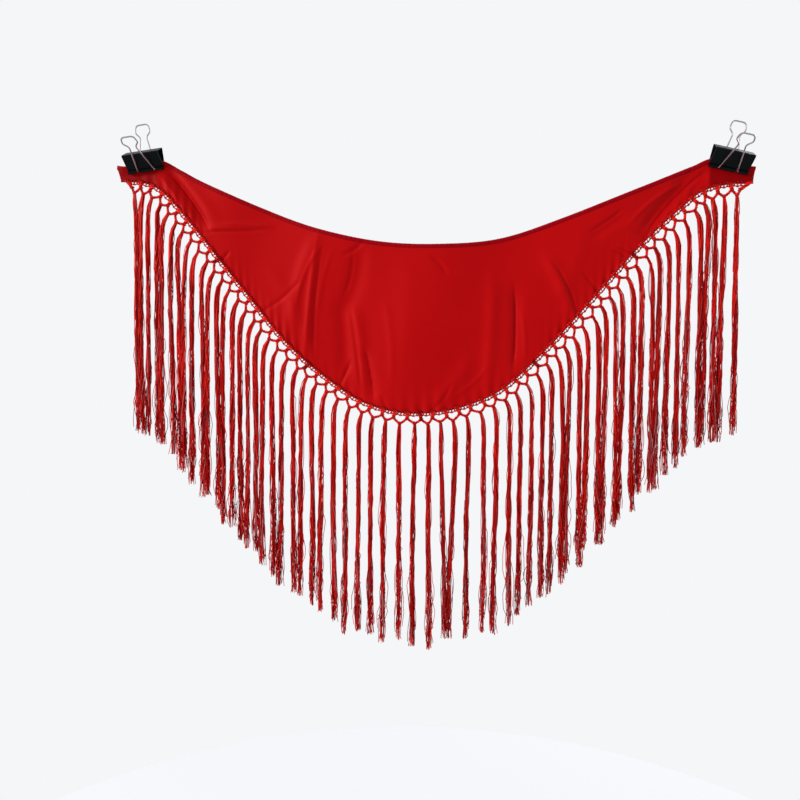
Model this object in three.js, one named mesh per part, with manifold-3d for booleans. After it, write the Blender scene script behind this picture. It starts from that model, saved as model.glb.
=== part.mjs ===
// Crescent shawl of red satin crepe with a knotted net and long fringe, hung by its two squared ends
// from a pair of sprung clips with wire handles.
// Millimetres, +X along the hung width, front towards -Y, +Z up.
// The origin is inside the top of the loop of the left clip's back handle, where a hook bears.

import * as THREE from 'three';
import { mergeVertices } from 'three/addons/utils/BufferGeometryUtils.js';
import Module from 'manifold-3d';

const wasm = await Module();
wasm.setup();

// Driving sizes of the cloth
const PART_GAP = 0.3;
const CLOTH_THICKNESS = 1.2;
const TOP_HEM = { width: 6, thickness: 2.4 };
const LOWER_HEM = { width: 3, thickness: 2 };
const HEM_SHOULDER = 0.6;
const CLOTH_ROWS = 10;
const CLIP_ZONE = { ties: 5, columnsEach: 3 };

// The hung outline, from the left tip: the distance across and the drop below the tip
const TOP_EDGE = [
  { across: 0, drop: 0 },
  { across: 10, drop: 1.5 },
  { across: 62, drop: -6 },
  { across: 90, drop: 7 },
  { across: 118, drop: 22 },
  { across: 201, drop: 58 },
  { across: 283, drop: 88 },
  { across: 370, drop: 106 },
  { across: 449, drop: 110 },
  { across: 526, drop: 103 },
  { across: 612, drop: 76 },
  { across: 715, drop: 36 },
  { across: 780, drop: 10 },
  { across: 802, drop: 2 },
  { across: 848, drop: 12 },
  { across: 858, drop: 13 },
];
const LOWER_EDGE = [
  { across: 3, drop: 22 },
  { across: 36, drop: 24 },
  { across: 59, drop: 34 },
  { across: 104, drop: 82 },
  { across: 169, drop: 163 },
  { across: 241, drop: 249 },
  { across: 300, drop: 299 },
  { across: 342, drop: 325 },
  { across: 391, drop: 339 },
  { across: 433, drop: 340 },
  { across: 475, drop: 333 },
  { across: 533, drop: 308 },
  { across: 594, drop: 252 },
  { across: 651, drop: 188 },
  { across: 715, drop: 114 },
  { across: 766, drop: 65 },
  { across: 794, drop: 43 },
  { across: 824, drop: 35 },
  { across: 857, drop: 34 },
];
const TIP_TO_TIP = TOP_EDGE.at(-1).across;

// The folded ends, counted in ties of the net from the left tip
const LEFT_FOLD_END = 4.1;
const RIGHT_FOLD_START = 60.6;

// Folds of the hung cloth: soft ridges (out above 0) and troughs (out below 0), each along a bowed line
const FOLDS = [
  { fromAcross: 69, fromDrop: 9, toAcross: 124, toDrop: 86, bow: 3, width: 7, out: -5 },
  { fromAcross: 78, fromDrop: 8, toAcross: 140, toDrop: 78, bow: 3, width: 9, out: 4 },
  { fromAcross: 124, fromDrop: 87, toAcross: 212, toDrop: 85, bow: 0, width: 7, out: 2 },
  { fromAcross: 280, fromDrop: 98, toAcross: 246, toDrop: 227, bow: -8, width: 10, out: 4 },
  { fromAcross: 281, fromDrop: 117, toAcross: 267, toDrop: 262, bow: -4, width: 8, out: 4 },
  { fromAcross: 341, fromDrop: 108, toAcross: 314, toDrop: 205, bow: 7, width: 12, out: -4 },
  { fromAcross: 314, fromDrop: 192, toAcross: 319, toDrop: 290, bow: 2, width: 10, out: -4 },
  { fromAcross: 333, fromDrop: 200, toAcross: 347, toDrop: 302, bow: 2, width: 9, out: 4 },
  { fromAcross: 346, fromDrop: 251, toAcross: 361, toDrop: 327, bow: 0, width: 8, out: -4 },
  { fromAcross: 492, fromDrop: 262, toAcross: 440, toDrop: 330, bow: 6, width: 11, out: 3 },
  { fromAcross: 521, fromDrop: 152, toAcross: 513, toDrop: 312, bow: 3, width: 9, out: 4 },
  { fromAcross: 552, fromDrop: 165, toAcross: 551, toDrop: 280, bow: 2, width: 8, out: -4 },
  { fromAcross: 592, fromDrop: 126, toAcross: 628, toDrop: 212, bow: 4, width: 9, out: 5 },
  { fromAcross: 695, fromDrop: 73, toAcross: 652, toDrop: 102, bow: 0, width: 7, out: -3 },
  { fromAcross: 782, fromDrop: 20, toAcross: 716, toDrop: 97, bow: -3, width: 8, out: -5 },
  { fromAcross: 798, fromDrop: 14, toAcross: 780, toDrop: 47, bow: 0, width: 6, out: -3 },
];
// Long soft waves of the whole cloth, flat near the clips
const WAVES = [
  { height: 3.5, length: 330, phase: 0.4, slant: 0.2 },
  { height: 2, length: 170, phase: 2.1, slant: -0.35 },
];
const WAVE_FADE = { from: 60, to: 190 };

// The net and fringe
const STRANDS = 62;
const STRETCHES = 6;
const NET_MARGIN = 11;
const NET = { thickness: 2.4, header: 1.8, firstKnot: 6.4, secondKnot: 16.4 };
const NET_SQUASH = { most: 0.4, width: 0.16 };
const KNOT_HALF = 2.4;
const TIE = { spread: 3.6, width: 3.4 };
const STRAND = { halfWidth: 3, halfThickness: 1.4, out: 11, turn: 10, lean: 2, sway: 1.2 };
const STRAND_LENGTH = { left: 329, middle: 301, right: 314, uneven: 8 };
// Sections of a strand: the share of its length below the net, and of its full width
const STRAND_SECTIONS = [
  { share: 0.02, wide: 0.8 },
  { share: 0.05, wide: 0.9 },
  { share: 0.11, wide: 0.95 },
  { share: 0.6, wide: 1 },
  { share: 1, wide: 0.57 },
];

// The two clips: the middle of each jaw line, from the left tip, and how far its right end is turned up
const CLIPS = [
  { side: 'left', across: 40.8, drop: 5.6, turn: 7.5 },
  { side: 'right', across: 824, drop: 14.3, turn: -13.5 },
];
const CLIP_TILT = THREE.MathUtils.degToRad(24.5);
const FRONT_HANDLE_LEAN = THREE.MathUtils.degToRad(59);
const CLIP = { width: 51, height: 25, spineHalf: 12.5, sheet: 0.8, jawHalf: 1.7, corner: 3 };
const CURL = { radius: 2.2, bore: 1.3, outer: 12, notch: 4, sides: 10, notchHeight: 2.5 };
const CURL_OFFSET = CLIP.jawHalf + CURL.radius;
const CLOTH_BEND = { below: 4, softness: 1.2, holds: 31, fades: 52 };
const JAW_PRESS = { holds: 31, fades: 42, below: 11, full: 4 };

// Handle wire, as half its outline: distance from the middle line, distance from the hinge, bend radius
const WIRE_RADIUS = 1;
const WIRE_SIDES = 6;
const HANDLE_OUTLINE = [
  { aside: 22, along: 0, bend: 0 },
  { aside: 11.8, along: 0, bend: 1.8 },
  { aside: 4.4, along: 44, bend: 6 },
  { aside: 10.6, along: 51, bend: 5 },
  { aside: 8.6, along: 61.5, bend: 5 },
  { aside: 0, along: 61.5, bend: 0 },
];
const HANDLE_LENGTH = HANDLE_OUTLINE.at(-1).along;

const CLOTH_LOOK = { color: 0xb20c10, roughness: 0.5, metalness: 0 };
const HEM_LOOK = { color: 0x97090e, roughness: 0.55, metalness: 0 };
const FRINGE_LOOK = { color: 0xc8161a, roughness: 0.6, metalness: 0 };
const CLIP_LOOK = { color: 0x101214, roughness: 0.3, metalness: 0.2 };
const WIRE_LOOK = { color: 0xb9b4b2, roughness: 0.25, metalness: 1 };

// Closed solids from lists of points

function signedVolume(triangles) {
  const cross = new THREE.Vector3();
  return triangles.reduce((sum, [a, b, c]) => sum + a.dot(cross.crossVectors(b, c)) / 6, 0);
}

function solidFromTriangles(triangles) {
  const outward = signedVolume(triangles) > 0;
  const ordered = outward ? triangles : triangles.map(([a, b, c]) => [a, c, b]);
  const positions = ordered.flat().flatMap((point) => point.toArray());
  const geometry = new THREE.BufferGeometry();
  geometry.setAttribute('position', new THREE.Float32BufferAttribute(positions, 3));
  return mergeVertices(geometry, 1e-4);
}

function quad(a, b, c, d) {
  return [[a, b, c], [a, c, d]];
}

// Skins rings of equally many points. Each end is closed between the first and second half of its ring.
function skinTriangles(rings, closeStart = true, closeEnd = true) {
  const count = rings[0].length;
  const triangles = [];
  for (let i = 0; i + 1 < rings.length; i += 1) {
    for (let j = 0; j < count; j += 1) {
      const k = (j + 1) % count;
      triangles.push(...quad(rings[i][j], rings[i][k], rings[i + 1][k], rings[i + 1][j]));
    }
  }
  const closeRing = (ring, reverse) => {
    for (let j = 0; j + 1 < count / 2; j += 1) {
      const cap = [ring[j], ring[count - 1 - j], ring[count - 2 - j], ring[j + 1]];
      triangles.push(...quad(...(reverse ? cap.reverse() : cap)));
    }
  };
  if (closeStart) closeRing(rings[0], false);
  if (closeEnd) closeRing(rings.at(-1), true);
  return triangles;
}

function skin(rings) {
  return solidFromTriangles(skinTriangles(rings));
}

// The hung outline and the shape of the cloth

function evenSteps(from, to, count) {
  return Array.from({ length: count + 1 }, (_, i) => from + (to - from) * i / count);
}

function edgeCurve(table) {
  const points = table.map(({ across, drop }) => new THREE.Vector3(across, -drop, 0));
  const curve = new THREE.CatmullRomCurve3(points, false, 'centripetal');
  curve.arcLengthDivisions = 800;
  return curve;
}

const topCurve = edgeCurve(TOP_EDGE);
const lowerCurve = edgeCurve(LOWER_EDGE);

function parameterAtAcross(curve, across) {
  let low = 0;
  let high = 1;
  for (let i = 0; i < 40; i += 1) {
    const middle = (low + high) / 2;
    if (curve.getPoint(middle).x < across) low = middle;
    else high = middle;
  }
  return (low + high) / 2;
}

// A point of the outline, moved square to the edge: up is positive
function offEdge(point, tangent, up) {
  return new THREE.Vector2(point.x - tangent.y * up, point.y + tangent.x * up);
}

function topPoint(across, up) {
  const t = parameterAtAcross(topCurve, across);
  return offEdge(topCurve.getPoint(t), topCurve.getTangent(t), up);
}

const LOWER_ARC = lowerCurve.getLength();
const TIE_ARCS = [0, ...evenSteps(NET_MARGIN, LOWER_ARC - NET_MARGIN, STRANDS), LOWER_ARC];

// A point of the lower edge. Between two ties the edge is straight.
function lowerPoint(tie, up) {
  const corner = (i) => {
    const u = TIE_ARCS[i] / LOWER_ARC;
    return offEdge(lowerCurve.getPointAt(u), lowerCurve.getTangentAt(u), up);
  };
  const before = Math.floor(tie);
  return tie === before ? corner(before) : corner(before).lerp(corner(before + 1), tie - before);
}

// Foot of the top edge's point over a tie, in the same share of the width
function acrossAtTie(tie) {
  const first = LOWER_EDGE[0].across;
  const last = LOWER_EDGE.at(-1).across;
  return TIP_TO_TIP * (lowerPoint(tie, 0).x - first) / (last - first);
}

function foldOut(x, height) {
  return FOLDS.reduce((sum, fold) => {
    const alongX = fold.toAcross - fold.fromAcross;
    const alongZ = fold.fromDrop - fold.toDrop;
    const length = Math.hypot(alongX, alongZ);
    const dx = x - fold.fromAcross;
    const dz = height + fold.fromDrop;
    const t = (dx * alongX + dz * alongZ) / length ** 2;
    const aside = (dz * alongX - dx * alongZ) / length - fold.bow * 4 * t * (1 - t);
    const starts = THREE.MathUtils.smoothstep(t, -0.15, 0.25);
    const ends = starts * (1 - THREE.MathUtils.smoothstep(t, 0.75, 1.15));
    return sum + fold.out * Math.exp(-((aside / fold.width) ** 2)) * ends;
  }, 0);
}

function waveOut(x, height) {
  const fromEnd = Math.min(x, TIP_TO_TIP - x);
  const fade = THREE.MathUtils.smoothstep(fromEnd, WAVE_FADE.from, WAVE_FADE.to);
  return WAVES.reduce((sum, wave) => {
    const turns = (x + wave.slant * height) / wave.length;
    return sum + wave.height * fade * Math.sin(2 * Math.PI * turns + wave.phase);
  }, 0);
}

// A place on the cloth as seen from a clip: how far along its jaw line and how far above it
function fromClip(clip, x, height) {
  const turn = THREE.MathUtils.degToRad(clip.turn);
  const dx = x - clip.across;
  const dz = height + clip.drop;
  return {
    along: Math.abs(dx * Math.cos(turn) + dz * Math.sin(turn)),
    above: dz * Math.cos(turn) - dx * Math.sin(turn),
  };
}

// Above each jaw line the cloth leans forward with its clip
function clipLean(x, height) {
  return CLIPS.reduce((sum, clip) => {
    const { along, above } = fromClip(clip, x, height);
    const overJaws = (above + CLOTH_BEND.below) / CLOTH_BEND.softness;
    const rise = CLOTH_BEND.softness * Math.log1p(Math.exp(overJaws));
    const hold = 1 - THREE.MathUtils.smoothstep(along, CLOTH_BEND.holds, CLOTH_BEND.fades);
    return sum + Math.tan(CLIP_TILT) * rise * hold;
  }, 0);
}

// The jaws press the folds flat
function pressed(x, height) {
  return CLIPS.reduce((most, clip) => {
    const { along, above } = fromClip(clip, x, height);
    const beside = 1 - THREE.MathUtils.smoothstep(along, JAW_PRESS.holds, JAW_PRESS.fades);
    return Math.max(most, beside * THREE.MathUtils.smoothstep(above, -JAW_PRESS.below, -JAW_PRESS.full));
  }, 0);
}

function clothDepth(x, height) {
  const free = 1 - pressed(x, height);
  return -(foldOut(x, height) + waveOut(x, height)) * free - clipLean(x, height);
}

// A point of the hung cloth, moved out of it towards its front by forward
function clothPoint(flat, forward) {
  const step = 0.1;
  const depth = clothDepth(flat.x, flat.y);
  const slopeX = (clothDepth(flat.x + step, flat.y) - depth) / step;
  const slopeZ = (clothDepth(flat.x, flat.y + step) - depth) / step;
  const normal = new THREE.Vector3(slopeX, -1, slopeZ).normalize();
  return new THREE.Vector3(flat.x, depth, flat.y).addScaledVector(normal, forward);
}

// Columns of the cloth, counted in ties
const LAST_TIE = TIE_ARCS.length - 1;
const ZONE_STEPS = CLIP_ZONE.ties * CLIP_ZONE.columnsEach;
const COLUMNS = [
  ...evenSteps(0, CLIP_ZONE.ties, ZONE_STEPS).slice(0, -1),
  ...evenSteps(CLIP_ZONE.ties, LAST_TIE - CLIP_ZONE.ties, LAST_TIE - 2 * CLIP_ZONE.ties),
  ...evenSteps(LAST_TIE - CLIP_ZONE.ties, LAST_TIE, ZONE_STEPS).slice(1),
];

function panelColumn(tie) {
  const top = topPoint(acrossAtTie(tie), -(TOP_HEM.width + PART_GAP));
  const bottom = lowerPoint(tie, LOWER_HEM.width + PART_GAP);
  return Array.from({ length: CLOTH_ROWS + 1 }, (_, row) => top.clone().lerp(bottom, row / CLOTH_ROWS));
}

// One layer of cloth over some of the columns. back moves the layer out behind the panel.
function clothLayer(columns, back) {
  const rings = columns.map((tie) => {
    const column = panelColumn(tie);
    const front = column.map((flat) => clothPoint(flat, CLOTH_THICKNESS / 2 - back));
    const rear = column.map((flat) => clothPoint(flat, -CLOTH_THICKNESS / 2 - back));
    return [...front, ...rear.reverse()];
  });
  return skin(rings);
}

// A rolled hem along an edge: edgeAt gives the edge's point over a tie, moved up by an amount
function hem(edgeAt, from, to, thickness) {
  const middle = (from + to) / 2;
  const half = thickness / 2;
  const side = half * HEM_SHOULDER;
  const rings = COLUMNS.map((tie) => {
    const at = (up, forward) => clothPoint(edgeAt(tie, up), forward);
    const front = [at(from, side), at(middle, half), at(to, side)];
    return [...front, at(to, -side), at(middle, -half), at(from, -side)];
  });
  return skin(rings);
}

// The net: one cell for each strand, laid along the lower edge

function netScale(arc) {
  const fromMiddle = (arc / LOWER_ARC - 0.5) / NET_SQUASH.width;
  return 1 - NET_SQUASH.most * Math.exp(-(fromMiddle ** 2));
}

// arc runs along the edge and out runs away from the cloth
function netPoint(arc, out, forward) {
  const point = lowerCurve.getPointAt(arc / LOWER_ARC);
  const tangent = lowerCurve.getTangentAt(arc / LOWER_ARC);
  const edge = clothPoint(offEdge(point, tangent, 0), forward);
  const flat = offEdge(point, tangent, -(PART_GAP + out));
  return new THREE.Vector3(flat.x, edge.y, flat.y);
}

// Outline of one cell, anticlockwise seen from the front, with up as -out. kind says what lies beyond
// each side that follows a corner: wall, join to the next cell, or the root of the strand.
function cellOutline(start, end, nearEnd) {
  const middle = (start + end) / 2;
  const scaleAt = (arc, size) => NET.header + size * netScale(arc);
  const side = (arc, into, open) => [
    { arc, out: NET.header, kind: 'wall' },
    { arc: arc + into * TIE.spread, out: NET.header, kind: 'wall' },
    { arc, out: scaleAt(arc, NET.firstKnot) - KNOT_HALF, kind: open },
    { arc, out: scaleAt(arc, NET.firstKnot) + KNOT_HALF, kind: 'wall' },
  ];
  const left = side(start, 1, nearEnd.left ? 'wall' : 'join');
  const right = side(end, -1, nearEnd.right ? 'wall' : 'join').reverse();
  const shifted = right.map((corner, i) => ({ ...corner, kind: right[(i + 1) % 4].kind }));
  shifted[3].kind = nearEnd.right ? 'wall' : 'join';
  const rootOut = scaleAt(middle, NET.secondKnot) + KNOT_HALF;
  return [
    { arc: start, out: 0, kind: nearEnd.left ? 'wall' : 'join' },
    ...left,
    { arc: middle - KNOT_HALF, out: rootOut, kind: 'root' },
    { arc: middle + KNOT_HALF, out: rootOut, kind: 'wall' },
    ...shifted,
    { arc: end, out: 0, kind: 'wall' },
  ];
}

function cellHole(start, end) {
  const middle = (start + end) / 2;
  const inner = TIE.spread + TIE.width;
  const beside = (arc, into) => ({
    arc: arc + into * (KNOT_HALF + 0.6),
    out: NET.header + NET.firstKnot * netScale(arc),
  });
  return [
    { arc: start + inner, out: NET.header },
    { arc: end - inner, out: NET.header },
    beside(end, -1),
    { arc: middle, out: NET.header + NET.secondKnot * netScale(middle) - KNOT_HALF - 1 },
    beside(start, 1),
  ];
}

function cellTriangles(start, end, nearEnd) {
  const outline = cellOutline(start, end, nearEnd);
  const hole = cellHole(start, end);
  const flatten = (corners) => corners.map(({ arc, out }) => new THREE.Vector2(arc, -out));
  const corners = [...outline, ...hole];
  const flat = flatten(corners);
  const front = corners.map(({ arc, out }) => netPoint(arc, out, NET.thickness / 2));
  const rear = corners.map(({ arc, out }) => netPoint(arc, out, -NET.thickness / 2));
  const faces = THREE.ShapeUtils.triangulateShape(flatten(outline), [flatten(hole)]);
  const triangles = faces.flatMap((face) => {
    const turnsLeft = THREE.ShapeUtils.area(face.map((i) => flat[i])) > 0;
    const [a, b, c] = turnsLeft ? face : [...face].reverse();
    return [[front[a], front[b], front[c]], [rear[a], rear[c], rear[b]]];
  });
  const wall = (a, b) => triangles.push(...quad(front[b], front[a], rear[a], rear[b]));
  outline.forEach((corner, i) => {
    if (corner.kind === 'wall') wall(i, (i + 1) % outline.length);
  });
  hole.forEach((_, i) => wall(outline.length + i, outline.length + (i + 1) % hole.length));
  const root = outline.findIndex(({ kind }) => kind === 'root');
  return { triangles, root: [front[root], rear[root], rear[root + 1], front[root + 1]] };
}

// The strands: flat four-sided locks that leave the net square to the edge and turn plumb

function strandLength(index) {
  const t = 2 * (index + 0.5) / STRANDS - 1;
  const end = t < 0 ? STRAND_LENGTH.left : STRAND_LENGTH.right;
  const uneven = Math.sin(index * 1.7) * Math.cos(index * 0.61) + 0.4 * Math.sin(index * 4.3);
  return STRAND_LENGTH.middle + (end - STRAND_LENGTH.middle) * Math.abs(t) + STRAND_LENGTH.uneven * uneven;
}

function strandTriangles(index, arc, root) {
  const tangent = lowerCurve.getTangentAt(arc / LOWER_ARC);
  const length = strandLength(index);
  const start = new THREE.Vector3().addVectors(root[0], root[2]).multiplyScalar(0.5);
  const lean = STRAND.lean * Math.sin(index * 2.9);
  const sway = STRAND.sway * Math.sin(index * 2.3 + 1);
  const rings = STRAND_SECTIONS.map(({ share, wide }) => {
    const down = share * length;
    const turned = 1 - Math.exp(-down / STRAND.turn);
    const centre = start.clone();
    centre.x += STRAND.out * tangent.y * turned + lean * share;
    centre.y += sway * share;
    centre.z -= down;
    const across = new THREE.Vector3(tangent.x, 0, tangent.y).lerp(new THREE.Vector3(1, 0, 0), turned);
    across.setLength(STRAND.halfWidth * wide);
    const forward = new THREE.Vector3(0, -STRAND.halfThickness * (0.6 + 0.4 * wide), 0);
    const corner = (a, f) => centre.clone().addScaledVector(across, a).addScaledVector(forward, f);
    return [corner(-1, 1), corner(-1, -1), corner(1, -1), corner(1, 1)];
  });
  return skinTriangles([root, ...rings], false, true);
}

function fringeStretch(first, last) {
  const triangles = [];
  for (let index = first; index < last; index += 1) {
    const nearEnd = { left: index === first, right: index === last - 1 };
    const start = TIE_ARCS[index + 1] + (nearEnd.left ? PART_GAP / 2 : 0);
    const end = TIE_ARCS[index + 2] - (nearEnd.right ? PART_GAP / 2 : 0);
    const cell = cellTriangles(start, end, nearEnd);
    triangles.push(...cell.triangles, ...strandTriangles(index, (start + end) / 2, cell.root));
  }
  return solidFromTriangles(triangles);
}

// The clips, each in its own frame: jaw line along X through the origin, spine up, front towards -Y

function toSolid(geometry) {
  const bare = geometry.clone();
  bare.deleteAttribute('normal');
  bare.deleteAttribute('uv');
  const merged = mergeVertices(bare, 1e-4);
  const mesh = new wasm.Mesh({
    numProp: 3,
    vertProperties: new Float32Array(merged.attributes.position.array),
    triVerts: new Uint32Array(merged.index.array),
  });
  return new wasm.Manifold(mesh);
}

function fromSolid(solid) {
  const mesh = solid.getMesh();
  const geometry = new THREE.BufferGeometry();
  geometry.setAttribute('position', new THREE.BufferAttribute(mesh.vertProperties, 3));
  geometry.setIndex(new THREE.BufferAttribute(mesh.triVerts, 1));
  return geometry;
}

// Extrudes a profile drawn in the clip's Y and Z along X
function alongX(shape, from, to) {
  const options = { depth: to - from, bevelEnabled: false, curveSegments: 3 };
  const geometry = new THREE.ExtrudeGeometry(shape, options);
  const turn = new THREE.Matrix4().makeBasis(
    new THREE.Vector3(0, 1, 0),
    new THREE.Vector3(0, 0, 1),
    new THREE.Vector3(1, 0, 0),
  );
  return geometry.applyMatrix4(turn).translate(from, 0, 0);
}

function sheetProfile() {
  const { jawHalf, spineHalf, height, sheet, corner } = CLIP;
  const jawOuter = jawHalf + sheet;
  const slope = (spineHalf - jawOuter) / height;
  const innerTop = height - sheet;
  const innerSpine = spineHalf - sheet;
  const innerCorner = corner - sheet;
  const shape = new THREE.Shape();
  shape.moveTo(jawHalf, 0);
  shape.lineTo(jawOuter, 0);
  shape.lineTo(spineHalf - slope * corner, height - corner);
  shape.quadraticCurveTo(spineHalf, height, spineHalf - corner, height);
  shape.lineTo(corner - spineHalf, height);
  shape.quadraticCurveTo(-spineHalf, height, slope * corner - spineHalf, height - corner);
  shape.lineTo(-jawOuter, 0);
  shape.lineTo(-jawHalf, 0);
  shape.lineTo(slope * corner - innerSpine, innerTop - innerCorner);
  shape.quadraticCurveTo(-innerSpine, innerTop, innerCorner - innerSpine, innerTop);
  shape.lineTo(innerSpine - innerCorner, innerTop);
  shape.quadraticCurveTo(innerSpine, innerTop, innerSpine - slope * corner, innerTop - innerCorner);
  shape.closePath();
  return shape;
}

function circleShape(centreY, radius) {
  const points = Array.from({ length: CURL.sides }, (_, i) => {
    const angle = 2 * Math.PI * i / CURL.sides;
    return new THREE.Vector2(centreY + radius * Math.cos(angle), radius * Math.sin(angle));
  });
  return new THREE.Shape(points);
}

function clipBody() {
  const half = CLIP.width / 2;
  const curlEnd = half - CURL.outer;
  const notchEnd = curlEnd - CURL.notch;
  let body = toSolid(alongX(sheetProfile(), -half, half));
  const acrossCurls = 4 * (CLIP.jawHalf + CURL.radius);
  const notchBox = new THREE.BoxGeometry(CURL.notch, acrossCurls, 2 * CURL.notchHeight);
  for (const side of [-1, 1]) {
    const notch = notchBox.clone().translate(side * (curlEnd - CURL.notch / 2), 0, 0);
    body = body.subtract(toSolid(notch));
  }
  for (const face of [-1, 1]) {
    const centreY = face * CURL_OFFSET;
    const tube = circleShape(centreY, CURL.radius);
    body = body.add(toSolid(alongX(tube, -notchEnd, notchEnd)));
    const boredTube = circleShape(centreY, CURL.radius);
    boredTube.holes.push(circleShape(centreY, CURL.bore));
    body = body.add(toSolid(alongX(boredTube, -half, -curlEnd)));
    body = body.add(toSolid(alongX(boredTube, curlEnd, half)));
  }
  return fromSolid(body);
}

// The bent wire as straight runs and round bends, in its own plane of aside and along
function wirePath() {
  const half = HANDLE_OUTLINE.slice(0, -1).map(({ aside, along, bend }) => ({ x: -aside, z: along, bend }));
  const corners = [...half, ...half.map((corner) => ({ ...corner, x: -corner.x })).reverse()];
  return corners.flatMap((corner, i) => {
    const at = new THREE.Vector2(corner.x, corner.z);
    if (corner.bend === 0) return [at];
    const before = new THREE.Vector2(corners[i - 1].x, corners[i - 1].z).sub(at).normalize();
    const after = new THREE.Vector2(corners[i + 1].x, corners[i + 1].z).sub(at).normalize();
    const halfAngle = Math.acos(THREE.MathUtils.clamp(before.dot(after), -1, 1)) / 2;
    const reach = corner.bend / Math.tan(halfAngle);
    const centre = before.clone().add(after).setLength(corner.bend / Math.sin(halfAngle)).add(at);
    const from = before.clone().multiplyScalar(reach).add(at).sub(centre);
    const to = after.clone().multiplyScalar(reach).add(at).sub(centre);
    const sweep = Math.atan2(from.cross(to), from.dot(to));
    const steps = Math.max(3, Math.round(Math.abs(sweep) * 2.6));
    return Array.from({ length: steps + 1 }, (_, k) => {
      return from.clone().rotateAround(new THREE.Vector2(), sweep * k / steps).add(centre);
    });
  });
}

function handleWire() {
  const path = wirePath();
  const rings = path.map((point, i) => {
    const before = path[Math.max(i - 1, 0)];
    const after = path[Math.min(i + 1, path.length - 1)];
    const tangent = after.clone().sub(before).normalize();
    return Array.from({ length: WIRE_SIDES }, (_, k) => {
      const angle = 2 * Math.PI * (k + 0.5) / WIRE_SIDES;
      const aside = WIRE_RADIUS * Math.cos(angle);
      return new THREE.Vector3(
        point.x - tangent.y * aside,
        WIRE_RADIUS * Math.sin(angle),
        point.y + tangent.x * aside,
      );
    });
  });
  return skin(rings);
}

// The hung group has the left tip as its origin

const hung = new THREE.Group();

function addMesh(parent, name, geometry, look) {
  const mesh = new THREE.Mesh(geometry, new THREE.MeshStandardMaterial(look));
  mesh.name = name;
  parent.add(mesh);
  return mesh;
}

function addClip({ side, across, drop, turn }) {
  const clip = new THREE.Group();
  const stackMiddle = (CLOTH_THICKNESS + PART_GAP) / 2 / Math.cos(CLIP_TILT);
  clip.position.set(across, clothDepth(across, -drop) + stackMiddle, -drop);
  clip.rotation.set(CLIP_TILT, -THREE.MathUtils.degToRad(turn), 0, 'YXZ');
  addMesh(clip, `${side}_clip_body`, clipBody(), CLIP_LOOK);
  const front = addMesh(clip, `${side}_clip_front_handle`, handleWire(), WIRE_LOOK);
  front.position.y = -CURL_OFFSET;
  front.rotation.x = FRONT_HANDLE_LEAN - CLIP_TILT;
  const back = addMesh(clip, `${side}_clip_back_handle`, handleWire(), WIRE_LOOK);
  back.position.y = CURL_OFFSET;
  back.rotation.x = -CLIP_TILT;
  hung.add(clip);
  return back;
}

addMesh(hung, 'cloth_panel', clothLayer(COLUMNS, 0), CLOTH_LOOK);
const leftColumns = COLUMNS.filter((tie) => tie <= LEFT_FOLD_END);
const rightColumns = COLUMNS.filter((tie) => tie >= RIGHT_FOLD_START);
addMesh(hung, 'left_end_fold', clothLayer(leftColumns, CLOTH_THICKNESS + PART_GAP), CLOTH_LOOK);
addMesh(hung, 'right_end_fold', clothLayer(rightColumns, CLOTH_THICKNESS + PART_GAP), CLOTH_LOOK);
const topEdgeAt = (tie, up) => topPoint(acrossAtTie(tie), up);
addMesh(hung, 'top_hem', hem(topEdgeAt, -TOP_HEM.width, 0, TOP_HEM.thickness), HEM_LOOK);
addMesh(hung, 'lower_hem', hem(lowerPoint, 0, LOWER_HEM.width, LOWER_HEM.thickness), HEM_LOOK);

for (let stretch = 0; stretch < STRETCHES; stretch += 1) {
  const first = Math.round(stretch * STRANDS / STRETCHES);
  const last = Math.round((stretch + 1) * STRANDS / STRETCHES);
  addMesh(hung, `fringe_${stretch + 1}`, fringeStretch(first, last), FRINGE_LOOK);
}

const [leftBackHandle] = CLIPS.map(addClip);

const shawl = new THREE.Group();
shawl.name = 'hung_shawl';
shawl.add(hung);
shawl.updateMatrixWorld(true);
const hook = leftBackHandle.localToWorld(new THREE.Vector3(0, 0, HANDLE_LENGTH - WIRE_RADIUS));
hung.position.copy(hook).negate();
shawl.updateMatrixWorld(true);

export default shawl;
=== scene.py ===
"""Crescent shawl of red satin crepe with a knotted net and long fringe, hung by its two squared ends
from a pair of sprung clips. Blender works in metres; the sizes below are millimetres from the left tip,
across to the right and dropping downwards."""

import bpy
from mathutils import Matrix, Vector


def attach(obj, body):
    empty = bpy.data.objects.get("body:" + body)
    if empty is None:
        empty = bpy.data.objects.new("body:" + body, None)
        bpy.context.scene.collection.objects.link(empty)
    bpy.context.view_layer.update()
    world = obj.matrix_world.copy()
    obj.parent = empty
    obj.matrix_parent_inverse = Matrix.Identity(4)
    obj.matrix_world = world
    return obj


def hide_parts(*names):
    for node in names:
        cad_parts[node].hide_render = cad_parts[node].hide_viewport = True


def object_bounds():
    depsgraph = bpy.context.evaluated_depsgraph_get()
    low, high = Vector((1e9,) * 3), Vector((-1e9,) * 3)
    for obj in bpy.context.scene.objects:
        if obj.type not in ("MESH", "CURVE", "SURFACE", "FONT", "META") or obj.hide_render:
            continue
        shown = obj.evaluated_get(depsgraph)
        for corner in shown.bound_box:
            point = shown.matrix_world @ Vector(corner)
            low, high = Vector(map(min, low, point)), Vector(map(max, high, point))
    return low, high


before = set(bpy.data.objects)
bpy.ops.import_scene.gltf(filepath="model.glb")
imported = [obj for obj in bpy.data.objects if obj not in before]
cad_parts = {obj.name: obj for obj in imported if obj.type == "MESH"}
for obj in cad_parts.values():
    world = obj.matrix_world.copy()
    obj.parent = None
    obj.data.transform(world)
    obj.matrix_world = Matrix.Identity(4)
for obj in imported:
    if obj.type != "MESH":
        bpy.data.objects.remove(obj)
CAD_BOX = [list(corner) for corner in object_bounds()]

import math

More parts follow.
